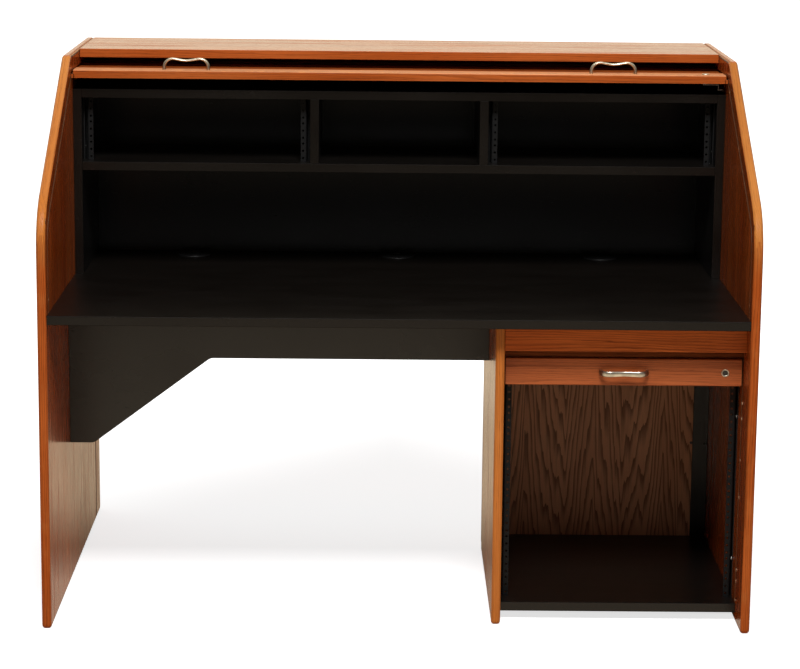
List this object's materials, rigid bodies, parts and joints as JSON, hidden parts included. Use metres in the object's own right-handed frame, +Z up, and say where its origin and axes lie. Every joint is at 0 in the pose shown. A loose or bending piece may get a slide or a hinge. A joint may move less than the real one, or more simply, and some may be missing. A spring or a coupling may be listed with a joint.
{
  "type": "roll-top studio desk",
  "caption": "Oak roll-top desk with a sloped tambour door, black desktop and hutch with rack bays, and a rack pedestal closed by its own tambour.",
  "frame": {"origin": "on the floor, at the centre of the desk's width and depth", "axes": "+X to the sitter's right, +Y from the sitter to the rear, +Z up"},
  "size_m": [1.46, 0.958, 1.138],
  "materials": {
    "oak_veneer": "satin",
    "black_laminate": "matte",
    "satin_nickel": "satin",
    "zinc_steel": "satin",
    "black_steel": "satin",
    "black_plastic": "matte"
  },
  "bodies": {
    "desk": {"left_side_panel": "oak_veneer", "right_side_panel": "oak_veneer", "top_panel": "oak_veneer", "rear_panel": "oak_veneer", "desktop": "black_laminate", "modesty_panel": "black_laminate", "hutch_left_side": "black_laminate", "hutch_right_side": "black_laminate", "hutch_top": "black_laminate", "hutch_shelf": "black_laminate", "hutch_left_divider": "black_laminate", "hutch_right_divider": "black_laminate", "hutch_back": "black_laminate", "pedestal_gable": "oak_veneer", "pedestal_floor": "black_laminate", "pedestal_fascia": "oak_veneer", "pedestal_back": "oak_veneer", "pedestal_rear_stile": "black_laminate", "left_bay_rack_rails": "black_steel", "right_bay_rack_rails": "black_steel", "pedestal_rack_rails": "black_steel", "grommet_sleeves": "black_plastic"},
    "main_door": {"main_lead_rail": "oak_veneer", "main_pulls": "satin_nickel", "main_pull_screws": "zinc_steel", "main_lock_barrel": "satin_nickel", "main_front_slats": "oak_veneer"},
    "main_lock": {"main_lock_plug": "satin_nickel", "main_lock_cam": "zinc_steel"},
    "pedestal_door": {"pedestal_lead_rail": "oak_veneer", "pedestal_pulls": "satin_nickel", "pedestal_pull_screws": "zinc_steel", "pedestal_lock_barrel": "satin_nickel"},
    "pedestal_lock": {"pedestal_lock_plug": "satin_nickel", "pedestal_lock_cam": "zinc_steel"},
    "main_bend_slat_1": {"main_bend_slat_1": "oak_veneer"},
    "main_bend_slat_2": {"main_bend_slat_2": "oak_veneer"},
    "main_bend_slat_3": {"main_bend_slat_3": "oak_veneer"},
    "main_slope_slats": {"main_slope_slats": "oak_veneer"},
    "main_turn_slat_1": {"main_turn_slat_1": "oak_veneer"},
    "main_turn_slat_2": {"main_turn_slat_2": "oak_veneer"},
    "main_turn_slat_3": {"main_turn_slat_3": "oak_veneer"},
    "main_rear_slats": {"main_rear_slats": "oak_veneer"},
    "main_crest_slat_1": {"main_crest_slat_1": "oak_veneer"},
    "main_tail_slats": {"main_tail_slats": "oak_veneer"},
    "pedestal_bend_slat_1": {"pedestal_bend_slat_1": "oak_veneer"},
    "pedestal_bend_slat_2": {"pedestal_bend_slat_2": "oak_veneer"},
    "pedestal_bend_slat_3": {"pedestal_bend_slat_3": "oak_veneer"},
    "pedestal_row_slats": {"pedestal_row_slats": "oak_veneer"},
    "pedestal_tail_slat_1": {"pedestal_tail_slat_1": "oak_veneer"},
    "pedestal_tail_slat_2": {"pedestal_tail_slat_2": "oak_veneer"},
    "left_grommet_cap": {"left_grommet_cap": "black_plastic"},
    "centre_grommet_cap": {"centre_grommet_cap": "black_plastic"},
    "right_grommet_cap": {"right_grommet_cap": "black_plastic"}
  },
  "joints": [
    {"name": "main_door_roll", "type": "hinge", "parent": "desk", "child": "main_door", "pos_m": [0, 0.0032, 0.6558], "axis": [1, 0, 0], "range_deg": [0, 90], "deforming": ["main_front_slats", "main_bend_slat_1", "main_bend_slat_2", "main_bend_slat_3", "main_slope_slats", "main_turn_slat_1", "main_turn_slat_2", "main_turn_slat_3", "main_rear_slats", "main_crest_slat_1", "main_tail_slats"]},
    {"name": "main_bend_slat_1_follow", "type": "hinge", "parent": "desk", "child": "main_bend_slat_1", "pos_m": [0, 0.03883, 0.58769], "axis": [1, 0, 0], "range_deg": [0, 77.97]},
    {"name": "main_bend_slat_2_follow", "type": "hinge", "parent": "desk", "child": "main_bend_slat_2", "pos_m": [0, 0.1028, 0.45205], "axis": [1, 0, 0], "range_deg": [0, 61.15]},
    {"name": "main_bend_slat_3_follow", "type": "hinge", "parent": "desk", "child": "main_bend_slat_3", "pos_m": [0, 0.20107, 0.22069], "axis": [1, 0, 0], "range_deg": [0, 44.32]},
    {"name": "main_slope_slats_follow", "type": "hinge", "parent": "desk", "child": "main_slope_slats", "pos_m": [0, 0.35452, -0.1694], "axis": [1, 0, 0], "range_deg": [0, 30.05]},
    {"name": "main_turn_slat_1_follow", "type": "hinge", "parent": "desk", "child": "main_turn_slat_1", "pos_m": [0, 0.19828, 0.38951], "axis": [1, 0, 0], "range_deg": [0, 54.19]},
    {"name": "main_turn_slat_2_follow", "type": "hinge", "parent": "desk", "child": "main_turn_slat_2", "pos_m": [0, 0.13967, 0.6301], "axis": [1, 0, 0], "range_deg": [0, 79.94]},
    {"name": "main_turn_slat_3_follow", "type": "hinge", "parent": "desk", "child": "main_turn_slat_3", "pos_m": [0, 0.11319, 0.76627], "axis": [1, 0, 0], "range_deg": [0, 105.7]},
    {"name": "main_rear_slats_follow", "type": "hinge", "parent": "desk", "child": "main_rear_slats", "pos_m": [0, 0.10486, 0.82183], "axis": [1, 0, 0], "range_deg": [0, 120.05]},
    {"name": "main_crest_slat_1_follow", "type": "hinge", "parent": "desk", "child": "main_crest_slat_1", "pos_m": [0, 0.09547, 0.81041], "axis": [1, 0, 0], "range_deg": [0, 115.03]},
    {"name": "main_tail_slats_follow", "type": "hinge", "parent": "desk", "child": "main_tail_slats", "pos_m": [0, 0.03506, 0.74406], "axis": [1, 0, 0], "range_deg": [0, 90.05]},
    {"name": "pedestal_door_slide", "type": "slide", "parent": "desk", "child": "pedestal_door", "axis": [0, 0, -1], "range_m": [0, 0.4657], "deforming": ["pedestal_bend_slat_1", "pedestal_bend_slat_2", "pedestal_bend_slat_3", "pedestal_row_slats", "pedestal_tail_slat_1", "pedestal_tail_slat_2"]},
    {"name": "pedestal_bend_slat_1_follow", "type": "hinge", "parent": "desk", "child": "pedestal_bend_slat_1", "pos_m": [0, 1.68832, 0.3345], "axis": [1, 0, 0], "range_deg": [0, 12.93]},
    {"name": "pedestal_bend_slat_2_follow", "type": "hinge", "parent": "desk", "child": "pedestal_bend_slat_2", "pos_m": [0, 0.29139, 0.3472], "axis": [1, 0, 0], "range_deg": [0, 38.69]},
    {"name": "pedestal_bend_slat_3_follow", "type": "hinge", "parent": "desk", "child": "pedestal_bend_slat_3", "pos_m": [0, 0.00088, 0.3599], "axis": [1, 0, 0], "range_deg": [0, 64.44]},
    {"name": "pedestal_row_slats_follow", "type": "hinge", "parent": "desk", "child": "pedestal_row_slats", "pos_m": [0, -0.13003, 0.37252], "axis": [1, 0, 0], "range_deg": [0, 90.05]},
    {"name": "pedestal_tail_slat_1_follow", "type": "hinge", "parent": "desk", "child": "pedestal_tail_slat_1", "pos_m": [0, -0.12793, 0.3557], "axis": [1, 0, 0], "range_deg": [0, 85.79]},
    {"name": "pedestal_tail_slat_2_follow", "type": "hinge", "parent": "desk", "child": "pedestal_tail_slat_2", "pos_m": [0, -0.11522, 0.2088], "axis": [1, 0, 0], "range_deg": [0, 60.03]},
    {"name": "main_lock_turn", "type": "hinge", "parent": "main_door", "child": "main_lock", "pos_m": [0.665, 0.0322, 1.1067], "axis": [0, 0, 1], "range_deg": [0, 90]},
    {"name": "pedestal_lock_turn", "type": "hinge", "parent": "pedestal_door", "child": "pedestal_lock", "pos_m": [0.6735, -0.3872, 0.5325], "axis": [0, -1, 0], "range_deg": [0, 90]},
    {"name": "left_grommet_cap_turn", "type": "hinge", "parent": "desk", "child": "left_grommet_cap", "pos_m": [-0.4675, 0.294, 0.656], "axis": [0, 0, 1], "continuous": true},
    {"name": "centre_grommet_cap_turn", "type": "hinge", "parent": "desk", "child": "centre_grommet_cap", "pos_m": [0, 0.294, 0.656], "axis": [0, 0, 1], "continuous": true},
    {"name": "right_grommet_cap_turn", "type": "hinge", "parent": "desk", "child": "right_grommet_cap", "pos_m": [0.4675, 0.294, 0.656], "axis": [0, 0, 1], "continuous": true}
  ],
  "couplings": [
    {"joint": "main_bend_slat_1_follow", "follows": "main_door_roll", "ratio": 0.86578},
    {"joint": "main_bend_slat_2_follow", "follows": "main_door_roll", "ratio": 0.67885},
    {"joint": "main_bend_slat_3_follow", "follows": "main_door_roll", "ratio": 0.49191},
    {"joint": "main_slope_slats_follow", "follows": "main_door_roll", "ratio": 0.33334},
    {"joint": "main_turn_slat_1_follow", "follows": "main_door_roll", "ratio": 0.60151},
    {"joint": "main_turn_slat_2_follow", "follows": "main_door_roll", "ratio": 0.88771},
    {"joint": "main_turn_slat_3_follow", "follows": "main_door_roll", "ratio": 1.1739},
    {"joint": "main_rear_slats_follow", "follows": "main_door_roll", "ratio": 1.3333},
    {"joint": "main_crest_slat_1_follow", "follows": "main_door_roll", "ratio": 1.2776},
    {"joint": "main_tail_slats_follow", "follows": "main_door_roll", "ratio": 1},
    {"joint": "pedestal_bend_slat_1_follow", "follows": "pedestal_door_slide", "rad_per_m": 0.48267},
    {"joint": "pedestal_bend_slat_2_follow", "follows": "pedestal_door_slide", "rad_per_m": 1.448},
    {"joint": "pedestal_bend_slat_3_follow", "follows": "pedestal_door_slide", "rad_per_m": 2.4133},
    {"joint": "pedestal_row_slats_follow", "follows": "pedestal_door_slide", "rad_per_m": 3.373},
    {"joint": "pedestal_tail_slat_1_follow", "follows": "pedestal_door_slide", "rad_per_m": 3.2134},
    {"joint": "pedestal_tail_slat_2_follow", "follows": "pedestal_door_slide", "rad_per_m": 2.248}
  ]
}
